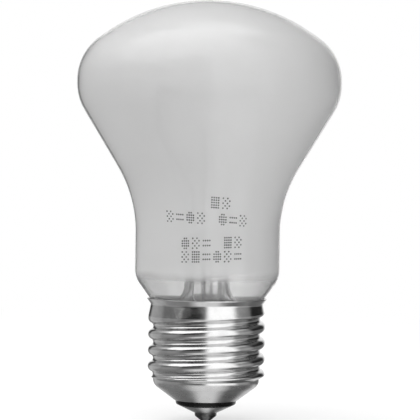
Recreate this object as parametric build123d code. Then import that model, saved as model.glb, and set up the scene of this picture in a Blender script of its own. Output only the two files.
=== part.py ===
from build123d import *
import functools
import math
import os

# A modelling lamp: an inside-frosted mushroom bulb on a 27 mm screw cap, standing cap down.
# The Z axis is the lamp's axis. Zero height is the flat tip of the centre solder.
# Sizes are in millimetres and angles in degrees.

# Glass bulb
bulb_radius = 30.0
bulb_top = 95.3
glass_wall = 0.7
neck_radius = 16.4
neck_length = 18.1
band_length = 10.02
shoulder_drop = 12.22
crown_radius = 13.3
throat_fillet = 28.7
widest_fillet = 11.6
neck_foot_rise = 4.6
neck_foot_fillet = 5.7
foot_cone_angle = 36.0
seal_gap = 0.23
seal_depth = 2.9
nub_radius = 0.6
nub_height = 0.6
fillet_share = 0.98

# Stem
flare_radius = 5.15
flare_wall = 1.0
flare_bend_rise = 3.8
flare_fillet = 5.0
flare_length = 14.0
press_taper = 4.5
press_length = 4.5
press_width = 11.0
press_depth = 4.0
press_fillet = 1.6
exhaust_radius = 1.35
exhaust_wall = 0.6
exhaust_length = 24.0
exhaust_tip_taper = 2.4
exhaust_hole_rise = 3.0
cane_radius = 1.25
cane_length = 16.0
button_radius = 2.2
button_length = 3.2
button_fillet = 0.9

# Wires
seal_wire_radius = 0.25
seal_wire_reach = 1.0
lead_spacing = 6.4
inner_lead_radius = 0.4
inner_lead_rise = 3.0
inner_lead_straight = 9.0
inner_lead_fillet = 3.0
outer_lead_radius = 0.15
wire_fillet = 1.2
filament_rise = 11.0
filament_ring_radius = 11.5
filament_radius = 0.55
filament_gap_angle = 6.0
tail_radius = 0.15
tail_reach = 0.7
support_count = 3
support_radius = 0.18
support_grip = 1.2
fuse_radius = 0.1
fuse_drop = 8.0
fuse_length = 10.0
sleeve_radius = 0.8
sleeve_margin = 1.0
contact_lead_centring_rise = 1.5
contact_lead_bend_rise = 3.5
side_lead_turn_drop = 3.1
side_lead_turn_radius = 6.0
side_lead_bend_rise = 3.5
side_lead_offset = 3.0
side_lead_gap = 0.3
side_lead_depth = 0.7

# Screw cap
cap_bottom = 5.0
cap_top = 27.9
sheet = 0.25
thread_pitch = 3.62
thread_crest = 13.03
thread_root = 11.88
thread_root_height = 12.42
thread_turns_below = 1.25
thread_run_out = 1.3
taper_depth = 4.1
thread_foot_rise = 0.8
thread_corner = 0.4
lip_depth = 1.3
lip_fillet = 0.8
dish_inset = 0.08
dish_edge_radius = 7.05
dish_angle = 37.0
dish_fillet = 2.2
dish_rim = 1.25
slot_width = 0.4
slot_depth = 2.3

# Insulator, contact, solder and cement
insulator_depth = 3.0
insulator_bottom = 3.75
insulator_inset = 0.1
insulator_taper = 0.2
insulator_fillet = 0.45
eyelet_radius = 1.2
contact_inset = 0.6
contact_height = 3.6
contact_flat_radius = 2.7
contact_flat_height = 1.95
contact_sheet = 0.3
contact_hole_radius = 0.7
solder_radius = 2.5
solder_shoulder = 1.2
solder_tip_radius = 1.0
solder_tip_fillet = 0.8
solder_shoulder_fillet = 0.5
side_solder_radius = 1.0
side_solder_depth = 1.1
cement_seat = 1.8
cement_depth = 2.0

# Clearances
fit = 0.05
wire_fit = 0.03

# Segments that stand for each arc of the rolled thread, outside and inside
outer_arc_steps = 2
inner_arc_steps = 1

# Radii and heights that the sizes above settle
dish_radius = thread_root - dish_inset
seal_radius = thread_root - sheet - seal_gap
side_lead_radius = seal_radius + side_lead_gap + outer_lead_radius
insulator_radius = dish_edge_radius - insulator_inset
insulator_foot_radius = insulator_radius - insulator_taper
contact_radius = insulator_foot_radius - contact_inset
neck_foot_height = cap_top + neck_foot_rise
throat_height = neck_foot_height + neck_length
shoulder_height = bulb_top - shoulder_drop
widest_height = shoulder_height - band_length
seal_height = cap_top - seal_depth
press_foot_height = seal_height + flare_length
press_height = press_foot_height + press_taper
press_top = press_height + press_length
button_height = press_top + cane_length
filament_height = button_height + filament_rise
fuse_top = press_foot_height - fuse_drop
fuse_bottom = fuse_top - fuse_length
insulator_top = cap_bottom + insulator_depth
taper_height = cap_top - taper_depth
lip_height = cap_top - lip_depth
side_lead_turn_height = seal_height - side_lead_turn_drop
side_lead_top = cap_top - side_lead_depth
side_solder_height = cap_top - side_solder_depth


def limited_fillets(points, runs, radii):
    # Each fillet is limited by the two runs that it shares with its neighbours.
    turns = [math.radians(before.get_angle(after)) for before, after in zip(runs, runs[1:])]
    reaches = [0.0, *[radius * math.tan(turn / 2) for radius, turn in zip(radii, turns)], 0.0]
    shares = [1.0] * len(reaches)
    for index, (start, end) in enumerate(zip(points, points[1:])):
        used = reaches[index] + reaches[index + 1]
        room = fillet_share * (end - start).length
        if used > room:
            shares[index] = min(shares[index], room / used)
            shares[index + 1] = min(shares[index + 1], room / used)
    return [radius * share for radius, share in zip(radii, shares[1:])]


def inset_path(corners, radii, inset):
    # A filleted path of (radius, height) corners, moved sideways to its left by the inset.
    points = [Vector(radius, 0, height) for radius, height in corners]
    runs = [(after - before).normalized() for before, after in zip(points, points[1:])]
    radii = limited_fillets(points, runs, radii)
    sides = [Vector(-run.Z, 0, run.X) for run in runs]
    moved = [points[0] + sides[0] * inset]
    moved_radii = []
    for index, radius in enumerate(radii):
        before, after = sides[index], sides[index + 1]
        moved.append(points[index + 1] + (before + after) * (inset / (1 + before.dot(after))))
        turn = runs[index].cross(runs[index + 1]).Y
        moved_radii.append(max(radius + math.copysign(inset, turn), 0.0) if radius else 0.0)
    moved.append(points[-1] + sides[-1] * inset)
    return FilletPolyline(*moved, radius=moved_radii)


def turned(*lines):
    # The solid of revolution of a closed half section in the XZ plane.
    return revolve(make_face(lines), Axis.Z)


def in_section(radius, height):
    return (radius, 0, height)


def disc_stack(radius, bottom, top):
    return Pos(0, 0, bottom) * Cylinder(radius, top - bottom, align=(Align.CENTER, Align.CENTER, Align.MIN))


def wire(path, radius):
    # A round wire along a path.
    return sweep(path.location_at(0) * Circle(radius), path=path)


def foot_cone_radius(height):
    # The outer radius of the glass cone under the neck.
    return neck_radius - (neck_foot_height - height) * math.tan(math.radians(foot_cone_angle))


def bulb_outline(inset):
    # The bulb's outer line from the seal up to the crown, moved inwards by the inset.
    seal_corner = neck_foot_height - (neck_radius - seal_radius) / math.tan(math.radians(foot_cone_angle))
    slope = math.atan2(shoulder_drop, bulb_radius - crown_radius)
    slope_end = (crown_radius * (1 + math.cos(slope)), bulb_top - crown_radius * math.sin(slope))
    corners = [
        (seal_radius, seal_height),
        (seal_radius, seal_corner),
        (neck_radius, neck_foot_height),
        (neck_radius, throat_height),
        (bulb_radius, widest_height),
        (bulb_radius, shoulder_height),
        slope_end,
    ]
    side = inset_path(corners, [0, neck_foot_fillet, throat_fillet, widest_fillet, widest_fillet], inset)
    crown = TangentArc(side @ 1, in_section(0, bulb_top - inset), tangent=side % 1)
    return side, crown


def glass_bulb():
    # One blown wall from the seal to the crown, with the small nub left on top.
    outer_side, outer_crown = bulb_outline(0)
    inner_side, inner_crown = bulb_outline(glass_wall)
    crown_line = Line(outer_crown @ 1, inner_crown @ 1)
    seal_line = Line(inner_side @ 0, outer_side @ 0)
    wall = turned(outer_side, outer_crown, crown_line, inner_crown, inner_side, seal_line)
    nub = disc_stack(nub_radius, bulb_top - glass_wall / 2, bulb_top + nub_height)
    nub = fillet(nub.edges().sort_by(Axis.Z)[-1], nub_radius / 2)
    return wall + nub


def flare_path(inset):
    corners = [
        (seal_radius, seal_height),
        (seal_radius - glass_wall, seal_height),
        (flare_radius, seal_height + flare_bend_rise),
        (flare_radius, press_foot_height),
    ]
    return inset_path(corners, [0, flare_fillet], inset)


def lead_places():
    return [Pos(-lead_spacing / 2, 0, 0), Pos(lead_spacing / 2, 0, 0)]


def flare_tube():
    # A flared tube whose top is pinched into the flat press that holds the wires.
    outer, inner = flare_path(0), flare_path(flare_wall)
    tube = turned(outer, Line(outer @ 1, inner @ 1), inner, Line(inner @ 0, outer @ 0))
    press_shape = RectangleRounded(press_width, press_depth, press_fillet)
    press = loft([Pos(0, 0, press_foot_height) * Circle(flare_radius), Pos(0, 0, press_height) * press_shape])
    press += extrude(Pos(0, 0, press_height) * press_shape, press_top - press_height)
    bore = exhaust_radius - exhaust_wall
    exhaust_hole_height = press_foot_height + exhaust_hole_rise
    press -= disc_stack(bore, press_foot_height, exhaust_hole_height)
    press -= Pos(0, 0, exhaust_hole_height) * Rot(90, 0, 0) * Cylinder(bore, 2 * flare_radius)
    for place in lead_places():
        press -= place * disc_stack(seal_wire_radius + wire_fit, press_foot_height, press_top)
    return tube + press


def exhaust_tube():
    # Open at the press and tipped off to a closed point at its lower end.
    bore = exhaust_radius - exhaust_wall
    exhaust_tip_height = press_foot_height - exhaust_length
    taper_top = exhaust_tip_height + exhaust_tip_taper
    outside = FilletPolyline(
        in_section(0, exhaust_tip_height),
        in_section(exhaust_wall, exhaust_tip_height),
        in_section(exhaust_radius, taper_top),
        in_section(exhaust_radius, press_foot_height),
        radius=[exhaust_wall / 2, exhaust_radius],
    )
    inside = Polyline(
        in_section(bore, press_foot_height),
        in_section(bore, taper_top + exhaust_wall),
        in_section(0, exhaust_tip_height + exhaust_wall),
    )
    return turned(outside, Line(outside @ 1, inside @ 0), inside, Line(inside @ 1, outside @ 0))


def support_line():
    # From inside the button to the eye round the filament, in the XZ plane.
    start = Vector(button_radius - support_grip, 0, button_height + button_length / 2)
    eye = Vector(filament_ring_radius, 0, filament_height)
    end = eye - (eye - start).normalized() * eye_radius()
    return Line(start, end)


def eye_radius():
    return filament_radius + fit + support_radius


def support_turns():
    step = 180 / (support_count + 1)
    return [Rot(0, 0, step * (index + 1)) for index in range(support_count)]


def support_cane():
    # The glass rod on the press, with the button that holds the support wires.
    button_top = button_height + button_length
    side = FilletPolyline(
        in_section(cane_radius, press_top),
        in_section(cane_radius, button_height),
        in_section(button_radius, button_height),
        in_section(button_radius, button_top),
        in_section(0, button_top),
        radius=[0, button_fillet, button_fillet],
    )
    cane = turned(side, Polyline(side @ 1, in_section(0, press_top), side @ 0))
    for turn in support_turns():
        cane -= turn * wire(support_line(), support_radius + wire_fit)
    return cane


def filament_support(turn):
    # A thin wire that ends in an eye round the filament.
    eye = Pos(filament_ring_radius, 0, filament_height) * Rot(90, 0, 0) * Torus(eye_radius(), support_radius)
    return turn * (wire(support_line(), support_radius) + eye)


def filament_tail(side, radius):
    start = (side * filament_ring_radius, -tail_reach, filament_height)
    end = (side * filament_ring_radius, filament_ring_radius * math.sin(math.radians(filament_gap_angle)), filament_height)
    return wire(Line(start, end), radius)


def filament():
    # The coil's outer form: a slim round arc with a straight tail at each end.
    section = Pos(filament_ring_radius, 0, 0) * Rot(90, 0, 0) * Circle(filament_radius)
    arc = revolve(section, Axis.Z, 180 - 2 * filament_gap_angle)
    coil = Pos(0, 0, filament_height) * Rot(0, 0, filament_gap_angle) * arc
    return coil + filament_tail(-1, tail_radius) + filament_tail(1, tail_radius)


def seal_wire(place):
    return place * disc_stack(seal_wire_radius, press_foot_height - seal_wire_reach, press_top + seal_wire_reach)


def inner_lead(side):
    # Bent outwards from the press and pierced near its top for the filament's tail.
    foot = press_top + seal_wire_reach
    path = FilletPolyline(
        (side * lead_spacing / 2, 0, foot),
        (side * lead_spacing / 2, 0, foot + inner_lead_rise),
        (side * filament_ring_radius, 0, filament_height - inner_lead_straight),
        (side * filament_ring_radius, 0, filament_height + filament_radius + inner_lead_radius),
        radius=inner_lead_fillet,
    )
    return wire(path, inner_lead_radius) - filament_tail(side, tail_radius + wire_fit)


def outer_lead_centre():
    return lead_places()[1] * disc_stack(outer_lead_radius, fuse_top, press_foot_height - seal_wire_reach)


def fuse_wire():
    return lead_places()[1] * disc_stack(fuse_radius, fuse_bottom, fuse_top)


def fuse_sleeve():
    # A glass sleeve over the fuse wire that grips the leads at its two ends.
    bottom, top = fuse_bottom - sleeve_margin, fuse_top + sleeve_margin
    sleeve = disc_stack(sleeve_radius, bottom, top) - disc_stack(outer_lead_radius + wire_fit, bottom, top)
    return lead_places()[1] * sleeve


def contact_lead():
    # From the fuse to the hole in the centre contact.
    centring_height = insulator_top + contact_lead_centring_rise
    path = FilletPolyline(
        (lead_spacing / 2, 0, fuse_bottom),
        (lead_spacing / 2, 0, centring_height + contact_lead_bend_rise),
        (0, 0, centring_height),
        (0, 0, contact_flat_height),
        radius=wire_fillet,
    )
    return wire(path, outer_lead_radius)


def side_lead_path():
    # Down the flare, out under its flange, and up between glass and cap to the lip.
    lift = (fit + outer_lead_radius) / math.cos(math.radians(foot_cone_angle))
    cone_meeting = neck_foot_height - (neck_radius + lift - side_lead_radius) / math.tan(
        math.radians(foot_cone_angle)
    )
    return FilletPolyline(
        (-lead_spacing / 2, 0, press_foot_height - seal_wire_reach),
        (-lead_spacing / 2, 0, seal_height + side_lead_bend_rise),
        (-lead_spacing / 4, side_lead_offset, side_lead_turn_height),
        (0, side_lead_turn_radius, side_lead_turn_height),
        (0, side_lead_radius, side_lead_turn_height),
        (0, side_lead_radius, cone_meeting),
        (0, foot_cone_radius(side_lead_top) + lift, side_lead_top),
        radius=wire_fillet,
    )


def outer_lead_side():
    return wire(side_lead_path(), outer_lead_radius)


def groove_section(inset, arc_steps):
    # The section of the thread's groove, open to the outside, with its middle at the root.
    depth = thread_crest - thread_root
    arc_radius = ((thread_pitch / 2) ** 2 + depth**2) / (4 * depth)
    slope = 2 * math.atan(2 * depth / thread_pitch)
    root_centre, crest_centre = thread_root + arc_radius, thread_crest - arc_radius
    step = slope / arc_steps
    root_corner = (arc_radius + inset) / math.cos(step / 2)
    crest_corner = (arc_radius - inset) / math.cos(step / 2)
    half = []
    for index in range(arc_steps):
        turn = (index + 0.5) * step
        half.append((root_centre - root_corner * math.cos(turn), root_corner * math.sin(turn)))
    for index in range(arc_steps - 1, 0, -1):
        turn = (index + 0.5) * step
        crest_height = thread_pitch / 2 - crest_corner * math.sin(turn)
        half.append((crest_centre + crest_corner * math.cos(turn), crest_height))
    last_turn = step / 2
    edge = (crest_centre + crest_corner * math.cos(last_turn), thread_pitch / 2 - crest_corner * math.sin(last_turn))
    last = half[-1]
    beyond = 1 + fit / (edge[0] - last[0])
    half.append((last[0] + (edge[0] - last[0]) * beyond, last[1] + (edge[1] - last[1]) * beyond))
    half.append((thread_crest + thread_pitch / 2, half[-1][1]))
    upper = [in_section(radius, height) for radius, height in half]
    lower = [in_section(radius, -height) for radius, height in reversed(half)]
    return make_face(Polyline(*lower, *upper, close=True))


def thread_groove(inset, arc_steps):
    # The rolled groove: a right-hand helix that runs out of the band in its last half turn.
    section = groove_section(inset, arc_steps)
    thread_turns_above = math.floor((taper_height - thread_root_height) / thread_pitch)
    turns = thread_turns_below + thread_turns_above
    start = thread_root_height - thread_turns_below * thread_pitch
    helix = Helix(thread_pitch, turns * thread_pitch, thread_crest)
    body = Pos(0, 0, start) * Rot(0, 0, -360 * thread_turns_below) * sweep(section, path=helix, is_frenet=True)
    run_angle = math.degrees(math.atan(thread_run_out / (thread_pitch / 2)))
    run_helix = Helix(thread_pitch, thread_pitch / 2, thread_crest, cone_angle=run_angle)
    run_start = thread_root_height + thread_turns_above * thread_pitch
    run_out = Pos(0, 0, run_start) * sweep(section, path=run_helix, is_frenet=True)
    return body, run_out


@functools.cache
def cap_form(inset, arc_steps):
    # The solid inside the cap's outer surface moved inwards by the inset.
    rise = math.tan(math.radians(dish_angle))
    beyond = sheet + fit + 1
    lip_lift = (fit + sheet) / math.cos(math.radians(foot_cone_angle))
    dish_corner = cap_bottom + (dish_radius - dish_edge_radius) * rise
    thread_foot = dish_corner + dish_rim
    corners = [
        (dish_edge_radius - beyond / rise, cap_bottom - beyond),
        (dish_radius, dish_corner),
        (dish_radius, thread_foot),
        (thread_crest, thread_foot + thread_foot_rise),
        (thread_crest, taper_height),
        (foot_cone_radius(lip_height) + lip_lift, lip_height),
        (foot_cone_radius(cap_top + beyond) + lip_lift, cap_top + beyond),
    ]
    side = inset_path(corners, [dish_fillet, thread_corner, thread_corner, thread_corner, lip_fillet], inset)
    bottom, top = (side @ 0).Z, (side @ 1).Z
    form = turned(side, Polyline(side @ 1, in_section(0, top), in_section(0, bottom), side @ 0))
    for groove in thread_groove(inset, arc_steps):
        form -= groove
    return form & disc_stack(2 * thread_crest, cap_bottom, cap_top)


def screw_shell():
    # Thin sheet rolled to the screw thread, with the lip that carries the glass.
    shell = cap_form(0, outer_arc_steps) - cap_form(sheet, inner_arc_steps)
    slot = Box(slot_width, thread_crest, slot_depth, align=(Align.CENTER, Align.MIN, Align.MIN))
    return shell - Pos(0, thread_crest / 2, cap_top - slot_depth) * slot


def insulator():
    # Black glass moulded into the dish, with a rounded ring below the shell's edge.
    plate = inset_path(contact_corners(), [0], contact_sheet + fit)
    ring_top = cap_bottom - wire_fit
    ring_corners = [
        (contact_radius + fit, insulator_bottom),
        (insulator_foot_radius, insulator_bottom),
        (insulator_radius, ring_top),
        (dish_hole_radius(), ring_top),
        (dish_hole_radius(), ring_top + sheet),
    ]
    outside = inset_path(ring_corners, [insulator_fillet, 0, 0], 0)
    eyelet_top = in_section(eyelet_radius, ring_top + sheet)
    rim = in_section(contact_radius + fit, (plate @ 1).Z)
    lower_edge = Polyline(outside @ 1, eyelet_top, in_section(eyelet_radius, (plate @ 0).Z), plate @ 0)
    ring = turned(outside, lower_edge, plate, Polyline(plate @ 1, rim, outside @ 0))
    disc = cap_form(sheet + fit, inner_arc_steps) & disc_stack(dish_radius, cap_bottom, insulator_top)
    return ring + (disc - disc_stack(eyelet_radius, cap_bottom, insulator_top))


def dish_hole_radius():
    # The hole that the sheet's inner face leaves at the dish's lower edge, less the fit.
    return dish_edge_radius - (sheet + fit) / math.sin(math.radians(dish_angle))


def contact_corners():
    return [
        (contact_hole_radius, contact_flat_height),
        (contact_flat_radius, contact_flat_height),
        (contact_radius, contact_height),
    ]


def centre_contact():
    # A shallow cone of sheet metal with a flat and a hole in its middle.
    lower = inset_path(contact_corners(), [0], 0)
    upper = inset_path(contact_corners(), [0], contact_sheet)
    return turned(lower, Line(lower @ 1, upper @ 1), upper, Line(upper @ 0, lower @ 0))


def centre_solder():
    # A drop of solder whose flat tip is the lamp's lowest point.
    corners = [
        (0, 0),
        (solder_tip_radius, 0),
        (solder_radius, solder_shoulder),
        (solder_radius, contact_flat_height),
    ]
    outside = inset_path(corners, [solder_tip_fillet, solder_shoulder_fillet], 0)
    return turned(outside, Polyline(outside @ 1, in_section(0, contact_flat_height), outside @ 0))


def side_solder():
    # A drop over the slot in the lip, where the side lead comes out.
    lip = foot_cone_radius(side_solder_height) + (fit + sheet) / math.cos(math.radians(foot_cone_angle))
    drop = Pos(0, lip, side_solder_height) * Sphere(side_solder_radius)
    drop -= cap_form(0, outer_arc_steps)
    return drop - wire(side_lead_path(), outer_lead_radius + wire_fit)


def basing_cement():
    # The ring of cement that holds the glass in the cap, above the thread's last full turn.
    cement_bottom, cement_top = seal_height - cement_seat, cap_top - cement_depth
    ring = cap_form(sheet + fit, inner_arc_steps) & disc_stack(thread_crest, cement_bottom, cement_top)
    side, crown = bulb_outline(-fit)
    ring -= turned(side, crown, Polyline(crown @ 1, in_section(0, (side @ 0).Z), side @ 0))
    ring -= disc_stack(seal_radius + fit, cement_bottom, seal_height)
    return ring - wire(side_lead_path(), outer_lead_radius + wire_fit)


def all_pieces():
    left, right = lead_places()
    pieces = {
        "glass_bulb": glass_bulb(),
        "flare_tube": flare_tube(),
        "exhaust_tube": exhaust_tube(),
        "support_cane": support_cane(),
        "filament": filament(),
        "seal_wire_left": seal_wire(left),
        "seal_wire_right": seal_wire(right),
        "inner_lead_left": inner_lead(-1),
        "inner_lead_right": inner_lead(1),
        "outer_lead_side": outer_lead_side(),
        "outer_lead_centre": outer_lead_centre(),
        "fuse_wire": fuse_wire(),
        "fuse_sleeve": fuse_sleeve(),
        "contact_lead": contact_lead(),
        "screw_shell": screw_shell(),
        "insulator": insulator(),
        "centre_contact": centre_contact(),
        "centre_solder": centre_solder(),
        "side_solder": side_solder(),
        "basing_cement": basing_cement(),
    }
    for index, turn in enumerate(support_turns()):
        pieces[f"filament_support_{index + 1}"] = filament_support(turn)
    return pieces


os.makedirs("parts", exist_ok=True)
for name, piece in all_pieces().items():
    export_step(piece, f"parts/{name}.step")
    print(name, round(piece.volume, 2))
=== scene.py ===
import math

import bmesh
import bpy
from mathutils import Matrix, Vector


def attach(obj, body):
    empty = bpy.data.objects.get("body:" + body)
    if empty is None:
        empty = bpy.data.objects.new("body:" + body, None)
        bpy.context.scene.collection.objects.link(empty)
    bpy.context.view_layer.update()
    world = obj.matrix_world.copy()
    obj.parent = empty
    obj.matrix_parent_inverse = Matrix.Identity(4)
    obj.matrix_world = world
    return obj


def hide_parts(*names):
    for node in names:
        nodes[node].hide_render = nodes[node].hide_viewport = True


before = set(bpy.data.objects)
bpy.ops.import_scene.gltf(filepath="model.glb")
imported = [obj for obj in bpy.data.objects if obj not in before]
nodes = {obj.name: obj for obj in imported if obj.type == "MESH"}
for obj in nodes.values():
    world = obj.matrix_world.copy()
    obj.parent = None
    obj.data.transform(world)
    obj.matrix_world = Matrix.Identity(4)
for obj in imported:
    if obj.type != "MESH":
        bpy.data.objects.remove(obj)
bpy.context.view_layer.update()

scene = bpy.context.scene
mm = 0.001
fullTurn = 2 * math.pi
mergeDistance = 0.0001 * mm
noiseSpan = (0.3, 0.7)  # where most of a noise's values lie
mixSockets = {"share": 0, "first": 6, "second": 7, "result": 2}  # the Mix node's places for colours


def grey(shade):
    return (shade, shade, shade, 1)


class Socket:
    # Wraps a shader socket, so that sums and products of sockets add their own Math nodes.
    def __init__(self, tree, link=None):
        self.tree = tree
        self.link = link

    def node(self, kind, settings=None, inputs=None, output=0):
        made = self.tree.nodes.new(kind)
        for name, setting in (settings or {}).items():
            if name == "stops":
                ramp = made.color_ramp
                while len(ramp.elements) < len(setting):
                    ramp.elements.new(1)
                for element, (place, shade) in zip(ramp.elements, setting):
                    element.position = place
                    element.color = grey(shade)
            else:
                setattr(made, name, setting)
        for name, value in (inputs or {}).items():
            if isinstance(value, Socket):
                self.tree.links.new(value.link, made.inputs[name])
            else:
                made.inputs[name].default_value = value
        return Socket(self.tree, made.outputs[output])

    def maths(self, operation, *values):
        inputs = {index: value for index, value in enumerate(values)}
        return self.node("ShaderNodeMath", {"operation": operation}, inputs)

    def __add__(self, other):
        return self.maths("ADD", self, other)

    def __radd__(self, other):
        return self.maths("ADD", other, self)

    def __sub__(self, other):
        return self.maths("SUBTRACT", self, other)

    def __rsub__(self, other):
        return self.maths("SUBTRACT", other, self)

    def __mul__(self, other):
        return self.maths("MULTIPLY", self, other)

    def __rmul__(self, other):
        return self.maths("MULTIPLY", other, self)

    def __truediv__(self, other):
        return self.maths("DIVIDE", self, other)

    def __rtruediv__(self, other):
        return self.maths("DIVIDE", other, self)

    def smooth(self, low, high):
        # 0 below low, 1 above high, with a soft step between.
        inputs = {"Value": self, "From Min": low, "From Max": high}
        return self.node("ShaderNodeMapRange", {"interpolation_type": "SMOOTHSTEP"}, inputs)

    def blend(self, first, second):
        # A mix of two colours, with this value as its share of the second.
        inputs = {mixSockets["share"]: self, mixSockets["first"]: first, mixSockets["second"]: second}
        return self.node("ShaderNodeMix", {"data_type": "RGBA"}, inputs, mixSockets["result"])


def startMaterial(name):
    # Returns an empty material, a first socket in it and the place on the object.
    material = bpy.data.materials.new(name)
    material.use_nodes = True
    material.node_tree.nodes.clear()
    start = Socket(material.node_tree)
    place = start.node("ShaderNodeTexCoord", output="Object")
    return material, start, place


def endMaterial(material, shader):
    output = shader.tree.nodes.new("ShaderNodeOutputMaterial")
    shader.tree.links.new(shader.link, output.inputs["Surface"])
    return material


def principled(start, inputs):
    return start.node("ShaderNodeBsdfPrincipled", {}, inputs)


def mixShaders(share, first, second):
    return first.node("ShaderNodeMixShader", {}, {0: share, 1: first, 2: second})


def along(place, axis):
    return place.node("ShaderNodeSeparateXYZ", {}, {"Vector": place}, axis)


def rays(start, kind):
    # 1 for rays of this kind, 0 for all others.
    return start.node("ShaderNodeLightPath", output=f"Is {kind} Ray")


def noise(place, size, detail, roughness=0.5):
    inputs = {"Vector": place, "Scale": 1 / size, "Detail": detail, "Roughness": roughness}
    return place.node("ShaderNodeTexNoise", {}, inputs)


def shades(pattern, dark, light, span=noiseSpan):
    # Two greys, mixed by the pattern.
    return pattern.smooth(*span).blend(grey(dark), grey(light))


def bump(height, distance, strength):
    inputs = {"Height": height, "Distance": distance, "Strength": strength}
    return height.node("ShaderNodeBump", {}, inputs)


def drawTo(bm, last, point):
    vert = bmesh.ops.extrude_vert_indiv(bm, verts=[last])["verts"][0]
    vert.co = point
    return vert


def inSection(radius, height):
    return Vector((radius, 0, height))


def turnAbout(bm, last, centre, angle, steps):
    made = bmesh.ops.spin(
        bm, geom=[last], cent=centre, axis=(0, 1, 0), angle=angle, steps=steps, use_merge=False,
    )
    return [item for item in made["geom_last"] if isinstance(item, bmesh.types.BMVert)][0]


def drawSection(bm, corners, steps):
    # Lays a line through (radius, height, fillet) corners in the XZ plane, with true arcs at the fillets.
    points = [inSection(radius, height) for radius, height, fillet in corners]
    last = bm.verts.new(points[0])
    for index in range(1, len(points) - 1):
        before = (points[index] - points[index - 1]).normalized()
        after = (points[index + 1] - points[index]).normalized()
        fillet = corners[index][2]
        turn = before.angle(after)
        last = drawTo(bm, last, points[index] - before * fillet * math.tan(turn / 2))
        if fillet:
            side = (after - before).normalized()
            centre = points[index] + side * fillet / math.cos(turn / 2)
            angle = math.copysign(turn, before.cross(after).y)
            last = turnAbout(bm, last, centre, angle, steps)
    return drawTo(bm, last, points[-1])


def spinSection(bm, steps):
    # Turns everything drawn so far once round the lamp's axis.
    geom = bm.verts[:] + bm.edges[:]
    bmesh.ops.spin(
        bm, geom=geom, cent=(0, 0, 0), axis=(0, 0, 1), angle=fullTurn, steps=steps, use_merge=True,
    )
    bmesh.ops.remove_doubles(bm, verts=bm.verts[:], dist=mergeDistance)
    bmesh.ops.recalc_face_normals(bm, faces=bm.faces[:])


def makePiece(name, bm, material, replaced=(), sharp=None):
    mesh = bpy.data.meshes.new(name)
    bm.to_mesh(mesh)
    bm.free()
    piece = bpy.data.objects.new(name, mesh)
    scene.collection.objects.link(piece)
    mesh.materials.append(material)
    mesh.shade_smooth()
    if sharp:
        mesh.set_sharp_from_angle(angle=sharp)
    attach(piece, "root")
    if replaced:
        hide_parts(*replaced)
    return piece


def addWall(piece, thickness):
    # A wall that grows inwards from the drawn skin.
    wall = piece.modifiers.new("wall", "SOLIDIFY")
    wall.thickness = thickness
    wall.offset = -1
    wall.use_even_offset = True


# Bulb
bulb = {
    "radius": 30.0 * mm,
    "top": 95.3 * mm,
    "wall": 0.7 * mm,
    "neckRadius": 16.4 * mm,
    "throatHeight": 50.6 * mm,
    "coneHeight": 73.06 * mm,
    "shoulderHeight": 83.08 * mm,
    "slope": math.radians(36.2),
    "slopeEndRadius": 24.03 * mm,
    "throatFillet": 28.7 * mm,
    "widestFillet": 11.6 * mm,
    "neckFootHeight": 32.5 * mm,
    "neckFootFillet": 5.7 * mm,
    "footSlope": math.radians(36),
    "sealRadius": 11.4 * mm,
    "sealHeight": 25.0 * mm,
    "steps": 144,
    "arcSteps": 20,
    # The frost's soft lower edge: where it starts, where it is full, and how far it strays.
    "frostFoot": 31.6 * mm,
    "frostFull": 34.4 * mm,
    "frostStray": 1.2 * mm,
    "haze": 0.2,
    "shade": 0.66,
    "shadeSpread": 0.03,
    "translucence": 0.45,
    "rimClear": (0.79, 0.86),
    "rimShare": 0.6,
    # Noises: their size and detail.
    "cloud": (22 * mm, 2),
    "grain": (0.5 * mm, 2),
    "edge": (7 * mm, 2),
    "grainBump": (0.01 * mm, 0.4),
}


def frostedGlass():
    # Frost on the inside of clear glass, which ends softly low in the neck.
    material, start, place = startMaterial("frostedGlass")
    dark = bulb["shade"] * (1 - bulb["shadeSpread"])
    light = bulb["shade"] * (1 + bulb["shadeSpread"])
    skin = principled(start, {
        "Base Color": shades(noise(place, *bulb["cloud"]), dark, light),
        "Roughness": 0.6,
        "IOR": 1.45,
        "Specular IOR Level": 0.3,
        "Coat Weight": 1.0,
        "Coat Roughness": 0.03,
        "Coat IOR": 1.5,
        "Normal": bump(noise(place, *bulb["grain"]), *bulb["grainBump"]),
    })
    glow = principled(start, {
        "Base Color": grey(0.88),
        "Roughness": 0.28,
        "IOR": 1.12,
        "Transmission Weight": 1.0,
    })
    clear = principled(start, {
        "Base Color": grey(1),
        "Roughness": 0.0,
        "IOR": 1.5,
        "Transmission Weight": 1.0,
    })
    frost = mixShaders(bulb["translucence"], skin, glow)
    # Seen edge on, the wall shows its clear outer side.
    edgeOn = start.node("ShaderNodeLayerWeight", {}, {"Blend": 0.5}, "Facing")
    rim = edgeOn.smooth(*bulb["rimClear"]) * bulb["rimShare"]
    stray = (noise(place, *bulb["edge"]) - 0.5) * bulb["frostStray"]
    full = (along(place, "Z") + stray).smooth(bulb["frostFoot"], bulb["frostFull"])
    share = (bulb["haze"] + full * (1 - bulb["haze"])) * (1 - rim)
    return endMaterial(material, mixShaders(share, clear, frost))


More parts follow.
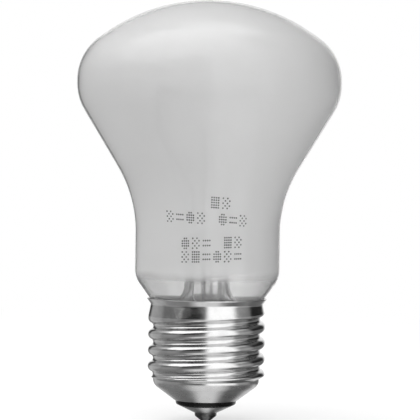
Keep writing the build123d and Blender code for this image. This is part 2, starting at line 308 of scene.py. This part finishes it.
def makeBulb(glass):
    inset = bulb["neckRadius"] - bulb["sealRadius"]
    footHeight = bulb["neckFootHeight"] - inset / math.tan(bulb["footSlope"])
    crown = bulb["slopeEndRadius"] / math.sin(bulb["slope"])
    crownCentre = bulb["top"] - crown
    bm = bmesh.new()
    last = drawSection(bm, [
        (bulb["sealRadius"], bulb["sealHeight"], 0),
        (bulb["sealRadius"], footHeight, 0),
        (bulb["neckRadius"], bulb["neckFootHeight"], bulb["neckFootFillet"]),
        (bulb["neckRadius"], bulb["throatHeight"], bulb["throatFillet"]),
        (bulb["radius"], bulb["coneHeight"], bulb["widestFillet"]),
        (bulb["radius"], bulb["shoulderHeight"], bulb["widestFillet"]),
        (bulb["slopeEndRadius"], crownCentre + crown * math.cos(bulb["slope"]), 0),
    ], bulb["arcSteps"])
    turnAbout(bm, last, (0, 0, crownCentre), -bulb["slope"], bulb["arcSteps"])
    spinSection(bm, bulb["steps"])
    piece = makePiece("bulbGlass", bm, glass, ["glass_bulb"])
    addWall(piece, bulb["wall"])


# Nub: the small drop of glass that is left on the crown
nub = {
    "radius": 0.6 * mm,
    "height": 0.6 * mm,
    "footRadius": 0.9 * mm,
    "footFillet": 0.3 * mm,
    "waist": 0.15 * mm,
    "topFillet": 0.3 * mm,
    "sharp": math.radians(50),
    "steps": 24,
    "arcSteps": 6,
}


def makeNub(glass):
    sunk = bulb["top"] - bulb["wall"] / 2
    bm = bmesh.new()
    drawSection(bm, [
        (0, sunk, 0),
        (nub["footRadius"], sunk, 0),
        (nub["footRadius"], bulb["top"], nub["footFillet"]),
        (nub["radius"], bulb["top"] + nub["waist"], nub["waist"]),
        (nub["radius"], bulb["top"] + nub["height"], nub["topFillet"]),
        (0, bulb["top"] + nub["height"], 0),
    ], nub["arcSteps"])
    spinSection(bm, nub["steps"])
    makePiece("crownNub", bm, glass, ["glass_bulb"], nub["sharp"])


# Stamp: rows of plain dot marks, front and low on the glass
stamp = {
    "dotRadius": 0.19 * mm,
    "dotRise": 0.02 * mm,
    "dotSides": 10,
    "columnPitch": 0.46 * mm,
    "rowPitch": 0.54 * mm,
    "middleRow": 2,
    "cellPitch": 2.35 * mm,
    "lift": 0.004 * mm,
    "sharp": math.radians(30),
    "wear": (0.8 * mm, 3),
    "ink": (0.04, 0.18),
    # Each row: the height of its middle, its left end across the front, its slope and its marks.
    "rows": [
        (49.6 * mm, 0.8 * mm, -0.06, "block chequer"),
        (46.0 * mm, -9.2 * mm, -0.05, "chequer dashes disc chequer gap disc dashes chequer"),
        (40.7 * mm, -5.6 * mm, 0.03, "disc chequer dashes gap block chequer"),
        (37.7 * mm, -5.6 * mm, 0.02, "chequer block dashes disc chequer dashes"),
    ],
    # Each mark: its columns from left to right, as the rows that carry a dot.
    "marks": {
        "block": [(0, 1, 2, 3, 4)] * 4,
        "chequer": [(0, 2, 4), (1, 3)] * 2,
        "disc": [(1, 2, 3), (0, 1, 2, 3, 4), (0, 1, 2, 3, 4), (1, 2, 3)],
        "dashes": [(1, 3)] * 4,
        "gap": [],
    },
}


def stampInk():
    material, start, place = startMaterial("stampInk")
    shader = principled(start, {
        "Base Color": shades(noise(place, *stamp["wear"]), *stamp["ink"]),
        "Roughness": 0.7,
    })
    return endMaterial(material, shader)


def glassRadius(height):
    # The outer radius of the neck, and of the throat's arc above it, and how far the glass leans out.
    turn = math.atan2(bulb["radius"] - bulb["neckRadius"], bulb["coneHeight"] - bulb["throatHeight"])
    rise = max(height - bulb["throatHeight"] + bulb["throatFillet"] * math.tan(turn / 2), 0)
    tilt = math.asin(rise / bulb["throatFillet"])
    return bulb["neckRadius"] + bulb["throatFillet"] * (1 - math.cos(tilt)), tilt


def addDot(bm, across, height):
    radius, tilt = glassRadius(height)
    place = (
        Matrix.Rotation(across / bulb["neckRadius"], 4, "Z")
        @ Matrix.Translation((0, -radius - stamp["lift"], height))
        @ Matrix.Rotation(math.pi / 2 + tilt, 4, "X")
    )
    bmesh.ops.create_cone(
        bm, cap_ends=True, segments=stamp["dotSides"], radius1=stamp["dotRadius"],
        radius2=stamp["dotRadius"], depth=stamp["dotRise"], matrix=place,
    )


def makeStamp():
    bm = bmesh.new()
    for middle, left, slope, marks in stamp["rows"]:
        for cell, mark in enumerate(marks.split()):
            for column, dots in enumerate(stamp["marks"][mark]):
                across = left + cell * stamp["cellPitch"] + column * stamp["columnPitch"]
                for row in dots:
                    above = (stamp["middleRow"] - row) * stamp["rowPitch"]
                    addDot(bm, across, middle + above + slope * across)
    makePiece("stampMarks", bm, stampInk(), sharp=stamp["sharp"])


# Screw shell
shell = {
    "top": 27.9 * mm,
    "bottom": 5.0 * mm,
    "sheet": 0.25 * mm,
    "pitch": 3.62 * mm,
    "crest": 13.03 * mm,
    "root": 11.88 * mm,
    "rootHeight": 12.42 * mm,
    "turnsBelow": 1.25,
    "turnsAbove": 3,
    "runOutTurns": 0.5,
    "runOut": 1.3 * mm,
    "threadTop": 23.8 * mm,
    "threadFoot": 9.83 * mm,
    "footRise": 0.8 * mm,
    "cornerFillet": 0.4 * mm,
    "bandRadius": 12.48 * mm,
    "bandTop": 26.6 * mm,
    "lipRadius": 13.43 * mm,
    "lipFillet": 0.8 * mm,
    "dishRadius": 11.8 * mm,
    "dishEdge": 7.05 * mm,
    "dishCorner": 8.58 * mm,
    "dishFillet": 2.0 * mm,
    "rowHeight": 0.15 * mm,
    "steps": 192,
    "arcSteps": 8,
    # The plate: a faint haze, fine lines drawn round it, and a satin dish below the thread.
    "plate": (0.56, 0.64),
    "gloss": 0.12,
    "haze": (3 * mm, 4, 0.6),
    "hazeSpan": (0.35, 0.75),
    "hazeRoughness": 0.1,
    "satinEnds": (8.2 * mm, 9.4 * mm),
    "satinRoughness": 0.14,
    "lines": (1.2 * mm, 3),
    "lineStretch": (1, 1, 9),
    "lineBump": (0.02 * mm, 0.35),
}


def nickelPlate():
    material, start, place = startMaterial("nickelPlate")
    haze = noise(place, *shell["haze"])
    drawn = place.node("ShaderNodeMapping", {}, {"Vector": place, "Scale": shell["lineStretch"]})
    satin = 1 - along(place, "Z").smooth(*shell["satinEnds"])
    dull = haze.smooth(*shell["hazeSpan"]) * shell["hazeRoughness"]
    shader = principled(start, {
        "Base Color": shades(haze, *shell["plate"]),
        "Metallic": 1.0,
        "Roughness": shell["gloss"] + dull + satin * shell["satinRoughness"],
        "Normal": bump(noise(drawn, *shell["lines"]), *shell["lineBump"]),
    })
    return endMaterial(material, shader)


def threadRadius(angle, height):
    # The outer radius of the rolled groove, or beyond the crest where there is no groove.
    turn = angle / fullTurn
    offset = (height - shell["rootHeight"]) / shell["pitch"] - turn
    turns = round(offset) + turn
    if not -shell["turnsBelow"] <= turns <= shell["turnsAbove"] + shell["runOutTurns"]:
        return 2 * shell["crest"]
    # Two equal arcs meet half way between the root and the crest.
    depth = shell["crest"] - shell["root"]
    halfPitch = shell["pitch"] / 2
    arc = (halfPitch**2 + depth**2) / (4 * depth)
    away = abs(offset - round(offset)) * shell["pitch"]
    if away < halfPitch / 2:
        radius = shell["root"] + arc - math.sqrt(arc**2 - away**2)
    else:
        radius = shell["crest"] - arc + math.sqrt(arc**2 - (halfPitch - away) ** 2)
    return radius + max(turns - shell["turnsAbove"], 0) * shell["runOut"] / shell["runOutTurns"]


def makeShell():
    bm = bmesh.new()
    drawSection(bm, [
        (shell["dishEdge"], shell["bottom"], 0),
        (shell["dishRadius"], shell["dishCorner"], shell["dishFillet"]),
        (shell["dishRadius"], shell["threadFoot"], shell["cornerFillet"]),
        (shell["crest"], shell["threadFoot"] + shell["footRise"], shell["cornerFillet"]),
        (shell["crest"], shell["threadTop"], shell["cornerFillet"]),
        (shell["bandRadius"], shell["bandTop"], shell["lipFillet"]),
        (shell["lipRadius"], shell["top"], 0),
    ], shell["arcSteps"])
    for edge in bm.edges[:]:
        cuts = int(edge.calc_length() / shell["rowHeight"])
        if cuts:
            bmesh.ops.subdivide_edges(bm, edges=[edge], cuts=cuts)
    spinSection(bm, shell["steps"])
    for vert in bm.verts:
        radius = math.hypot(vert.co.x, vert.co.y)
        share = min(threadRadius(math.atan2(vert.co.y, vert.co.x), vert.co.z) / radius, 1)
        vert.co.x *= share
        vert.co.y *= share
    piece = makePiece("screwShell", bm, nickelPlate(), ["screw_shell"])
    addWall(piece, shell["sheet"])


# Stem: the glass tubes and the cane
stem = {
    "shade": 0.93,
    "waves": (4 * mm, 2),
    "waveBump": (0.05 * mm, 0.3),
    "roughness": 0.02,
    "waveRoughness": 0.03,
    "nodes": ["flare_tube", "exhaust_tube", "support_cane", "fuse_sleeve"],
}


def stemGlass():
    material, start, place = startMaterial("stemGlass")
    waves = noise(place, *stem["waves"])
    shader = principled(start, {
        "Base Color": grey(stem["shade"]),
        "Roughness": stem["roughness"] + waves * stem["waveRoughness"],
        "IOR": 1.52,
        "Transmission Weight": 1.0,
        "Normal": bump(waves, *stem["waveBump"]),
    })
    return endMaterial(material, shader)


# Insulator
insulator = {
    "shades": (0.003, 0.012),
    "patches": (2 * mm, 3),
    "patchSpan": (0.3, 0.8),
    "patchBump": (0.05 * mm, 0.3),
    "roughness": 0.1,
    "patchRoughness": 0.1,
    "nodes": ["insulator"],
}


def blackGlass():
    material, start, place = startMaterial("blackGlass")
    patches = noise(place, *insulator["patches"])
    shader = principled(start, {
        "Base Color": shades(patches, *insulator["shades"], insulator["patchSpan"]),
        "Roughness": insulator["roughness"] + patches * insulator["patchRoughness"],
        "IOR": 1.25,
        "Normal": bump(patches, *insulator["patchBump"]),
    })
    return endMaterial(material, shader)


# Cement
cement = {
    "dark": (0.30, 0.24, 0.17, 1),
    "light": (0.48, 0.41, 0.31, 1),
    "grains": (0.6 * mm, 4, 0.7),
    "grainBump": (0.1 * mm, 0.6),
    "nodes": ["basing_cement"],
}


def basingCement():
    material, start, place = startMaterial("basingCement")
    grains = noise(place, *cement["grains"])
    shader = principled(start, {
        "Base Color": grains.smooth(*noiseSpan).blend(cement["dark"], cement["light"]),
        "Roughness": 0.85,
        "Normal": bump(grains, *cement["grainBump"]),
    })
    return endMaterial(material, shader)


# Wires, contact and solder
metal = {
    "patchDetail": (4, 0.6),
    "patchBump": (0.05 * mm, 0.3),
    "patchRoughness": 0.12,
    # Each: its darkest and lightest grey, its roughness, the size of its patches, and its nodes.
    "kinds": {
        "wireNickel": (0.42, 0.52, 0.2, 1 * mm, ["inner_lead_left", "inner_lead_right", "fuse_wire"]),
        "tungstenCoil": (0.18, 0.26, 0.35, 0.3 * mm, ["filament"]),
        "contactSheet": (0.5, 0.6, 0.3, 1 * mm, ["centre_contact"]),
        "supportWire": (0.3, 0.4, 0.3, 1 * mm, [
            "filament_support_1", "filament_support_2", "filament_support_3",
        ]),
        "copperLead": (0.5, 0.6, 0.3, 1 * mm, [
            "seal_wire_left", "seal_wire_right", "outer_lead_side", "outer_lead_centre", "contact_lead",
        ]),
        "solder": (0.06, 0.13, 0.16, 1 * mm, ["centre_solder", "side_solder"]),
    },
}


def plainMetal(name, dark, light, roughness, size):
    material, start, place = startMaterial(name)
    patches = noise(place, size, *metal["patchDetail"])
    shader = principled(start, {
        "Base Color": shades(patches, dark, light),
        "Metallic": 1.0,
        "Roughness": roughness + patches * metal["patchRoughness"],
        "Normal": bump(patches, *metal["patchBump"]),
    })
    return endMaterial(material, shader)


def dress(names, material):
    for name in names:
        materials = nodes[name].data.materials
        materials.clear()
        materials.append(material)


def dressNodes():
    # The solids whose shape is shown as it is get their finish here.
    dress(stem["nodes"], stemGlass())
    dress(insulator["nodes"], blackGlass())
    dress(cement["nodes"], basingCement())
    for name, (dark, light, roughness, size, names) in metal["kinds"].items():
        dress(names, plainMetal(name, dark, light, roughness, size))


# Studio
studio = {
    "cameraDistance": 385 * mm,
    "cameraHeight": 47.9 * mm,
    "cameraSide": 0.45 * mm,
    "cameraClip": 0.01,
    "lens": 145.2,
    "sensor": 36,
    "lean": math.radians(0.68),
    # Degrees round the lamp, from its front at 0 by its right side at 90, and how bright it is there.
    "walls": [
        (-180, 1.0), (-168, 1.0), (-162, 0.04), (-150, 0.06), (-140, 0.5), (-104, 0.4), (-94, 0.22),
        (-56, 0.2), (-44, 0.02), (-14, 0.03), (-4, 0.2), (5, 1.7), (54, 1.6), (66, 0.4), (94, 0.28),
        (102, 0.02), (148, 0.03), (162, 1.0), (180, 1.0),
    ],
    "ceiling": [
        (-180, 0.35), (-150, 0.4), (-100, 0.4), (-50, 0.2), (-42, 0.01), (-12, 0.01), (5, 1.6),
        (54, 1.6), (66, 0.3), (94, 0.2), (104, 0.01), (148, 0.05), (180, 0.35),
    ],
    "strip": [
        (-180, 0.35), (-130, 0.5), (-105, 0.9), (-52, 0.85), (-42, 0.25), (-12, 0.25), (0, 0.95),
        (10, 1.7), (50, 1.6), (66, 0.8), (88, 0.6), (100, 0.12), (150, 0.1), (180, 0.35),
    ],
    "table": [
        (-180, 0.9), (-150, 0.7), (-112, 0.16), (-42, 0.14), (-18, 0.95), (22, 1.0), (36, 0.5),
        (48, 0.08), (98, 0.06), (118, 0.85), (180, 0.9),
    ],
    "fill": [
        (-180, 0.9), (-125, 0.6), (-75, 0.5), (-35, 0.8), (0, 0.85), (35, 0.8), (75, 0.5),
        (125, 0.6), (180, 0.9),
    ],
    # How high up the strip starts above the walls and gives way to the ceiling, as sines.
    "stripLow": (0.36, 0.46),
    "stripHigh": (0.64, 0.74),
    # The overhead panel that the dome mirrors: its edges as run over rise, across and to the back,
    # and how much nearer it comes for each step to the left.
    "panelAcross": (-2.4, 0.32),
    "panelAway": (-1.25, 0.5),
    "panelSkew": 0.25,
    "panelEdge": 0.12,
    "panelShade": 1.75,
    "leastRise": 0.01,
}


def makeCamera():
    camera = bpy.data.objects.new("camera", bpy.data.cameras.new("camera"))
    scene.collection.objects.link(camera)
    camera.data.lens = studio["lens"]
    camera.data.sensor_width = studio["sensor"]
    camera.data.clip_start = studio["cameraClip"]
    place = (studio["cameraSide"], -studio["cameraDistance"], studio["cameraHeight"])
    camera.matrix_world = (
        Matrix.Translation(place)
        @ Matrix.Rotation(math.pi / 2, 4, "X")
        @ Matrix.Rotation(studio["lean"], 4, "Z")
    )
    scene.camera = camera


def roundShade(x, y, ring):
    # How bright a ring of the studio is in the direction (x, y): dark cards and grey walls on the left,
    # a tall softbox at the front right, and the white backdrop behind the lamp.
    azimuth = x.maths("ARCTAN2", x, 0 - y) / fullTurn + 0.5
    stops = [(0.5 + angle / 360, shade) for angle, shade in studio[ring]]
    return azimuth.node("ShaderNodeValToRGB", {"stops": stops}, {"Fac": azimuth})


# Floor
floor = {
    "size": 3.0,
    "paper": (0.86, 0.9),
    "cloud": (0.6, 2),
    # How much of it shows plain white near the lamp, and over what distance that grows to all of it.
    "white": 0.6,
    "whiteEnds": (0.05, 0.4),
    # Metal and glass mirror the table's ring near the lamp and the walls beyond.
    "tableEnds": (24 * mm, 40 * mm),
    "mirrorShare": 0.85,
}


def paleFloor():
    # White to the camera, apart from the lamp's own soft shadow.
    material, start, place = startMaterial("paleFloor")
    dark, light = floor["paper"]
    paper = principled(start, {
        "Base Color": noise(place, *floor["cloud"]).blend(grey(dark), grey(light)),
        "Roughness": 0.8,
    })
    x = along(place, "X")
    y = along(place, "Y")
    away = place.node("ShaderNodeVectorMath", {"operation": "LENGTH"}, {0: place}, "Value")
    around = away.smooth(*floor["tableEnds"]).blend(roundShade(x, y, "table"), roundShade(x, y, "walls"))
    mirrored = rays(start, "Glossy")
    white = start.node("ShaderNodeEmission", {}, {"Color": mirrored.blend(grey(1), around)})
    plain = floor["white"] + away.smooth(*floor["whiteEnds"]) * (1 - floor["white"])
    share = (rays(start, "Camera") + rays(start, "Transmission")) * plain + mirrored * floor["mirrorShare"]
    return endMaterial(material, mixShaders(share, paper, white))


def makeFloor():
    bm = bmesh.new()
    bmesh.ops.create_grid(bm, x_segments=1, y_segments=1, size=floor["size"])
    mesh = bpy.data.meshes.new("floor")
    bm.to_mesh(mesh)
    bm.free()
    mesh.materials.append(paleFloor())
    sheet = bpy.data.objects.new("floor", mesh)
    scene.collection.objects.link(sheet)


def between(value, edges):
    # 1 between the two edges and 0 outside them, with soft steps.
    low, high = edges
    soft = studio["panelEdge"]
    return value.smooth(low - soft, low + soft) * (1 - value.smooth(high - soft, high + soft))


def makeWorld():
    # Plain white to the camera and through glass, the rings and the panel where metal and glass mirror
    # them, and an even fill as light.
    world = bpy.data.worlds.new("studio")
    scene.world = world
    world.use_nodes = True
    world.node_tree.nodes.clear()
    start = Socket(world.node_tree)
    direction = start.node("ShaderNodeTexCoord", output="Generated")
    x = along(direction, "X")
    y = along(direction, "Y")
    z = along(direction, "Z")
    seen = rays(start, "Camera") + rays(start, "Transmission")
    plain = seen.blend(roundShade(x, y, "fill"), grey(1))
    low = z.smooth(*studio["stripLow"]).blend(roundShade(x, y, "walls"), roundShade(x, y, "strip"))
    high = z.smooth(*studio["stripHigh"]).blend(low, roundShade(x, y, "ceiling"))
    rise = z.maths("MAXIMUM", z, studio["leastRise"])
    skewed = (y - x * studio["panelSkew"]) / rise
    panel = between(x / rise, studio["panelAcross"]) * between(skewed, studio["panelAway"])
    around = panel.blend(high, grey(studio["panelShade"]))
    shade = rays(start, "Glossy").blend(plain, around)
    background = start.node("ShaderNodeBackground", {}, {"Color": shade, "Strength": 1.0})
    output = world.node_tree.nodes.new("ShaderNodeOutputWorld")
    world.node_tree.links.new(background.link, output.inputs["Surface"])


# Area lamps, which nothing mirrors: where each stands, where it points, its width and height, and how
# bright its face is
keyAngle = math.radians(31.5)
keyAway = 0.62
middle = (0, 0, 50 * mm)
lamps = {
    "keyLamp": (
        (keyAway * math.sin(keyAngle), -keyAway * math.cos(keyAngle), 0.12), middle, 0.66, 0.5, 0.55,
    ),
    "topLamp": ((-0.27, 0.12, 0.7), (-0.27, 0.12, 0), 0.9, 0.48, 1.75),
    "skyLamp": ((-0.22, -0.3, 0.8), middle, 1.2, 0.9, 1.6),
    "frontLamp": ((-0.5, -0.75, 0.3), middle, 0.8, 0.6, 0.4),
}


def makeLamps():
    for name, (place, target, width, height, radiance) in lamps.items():
        lamp = bpy.data.lights.new(name, "AREA")
        lamp.shape = "RECTANGLE"
        lamp.size = width
        lamp.size_y = height
        lamp.energy = radiance * math.pi * width * height
        holder = bpy.data.objects.new(name, lamp)
        scene.collection.objects.link(holder)
        holder.location = place
        holder.rotation_euler = (Vector(target) - Vector(place)).to_track_quat("-Z", "Y").to_euler()
        holder.visible_glossy = False
        holder.visible_camera = False


scene.view_settings.view_transform = "Standard"
makeCamera()
makeWorld()
makeLamps()
makeFloor()
print("studio done")
frosted = frostedGlass()
makeBulb(frosted)
makeNub(frosted)
print("bulb done")
makeStamp()
print("stamp done")
makeShell()
print("screw shell done")
dressNodes()
print("materials done")
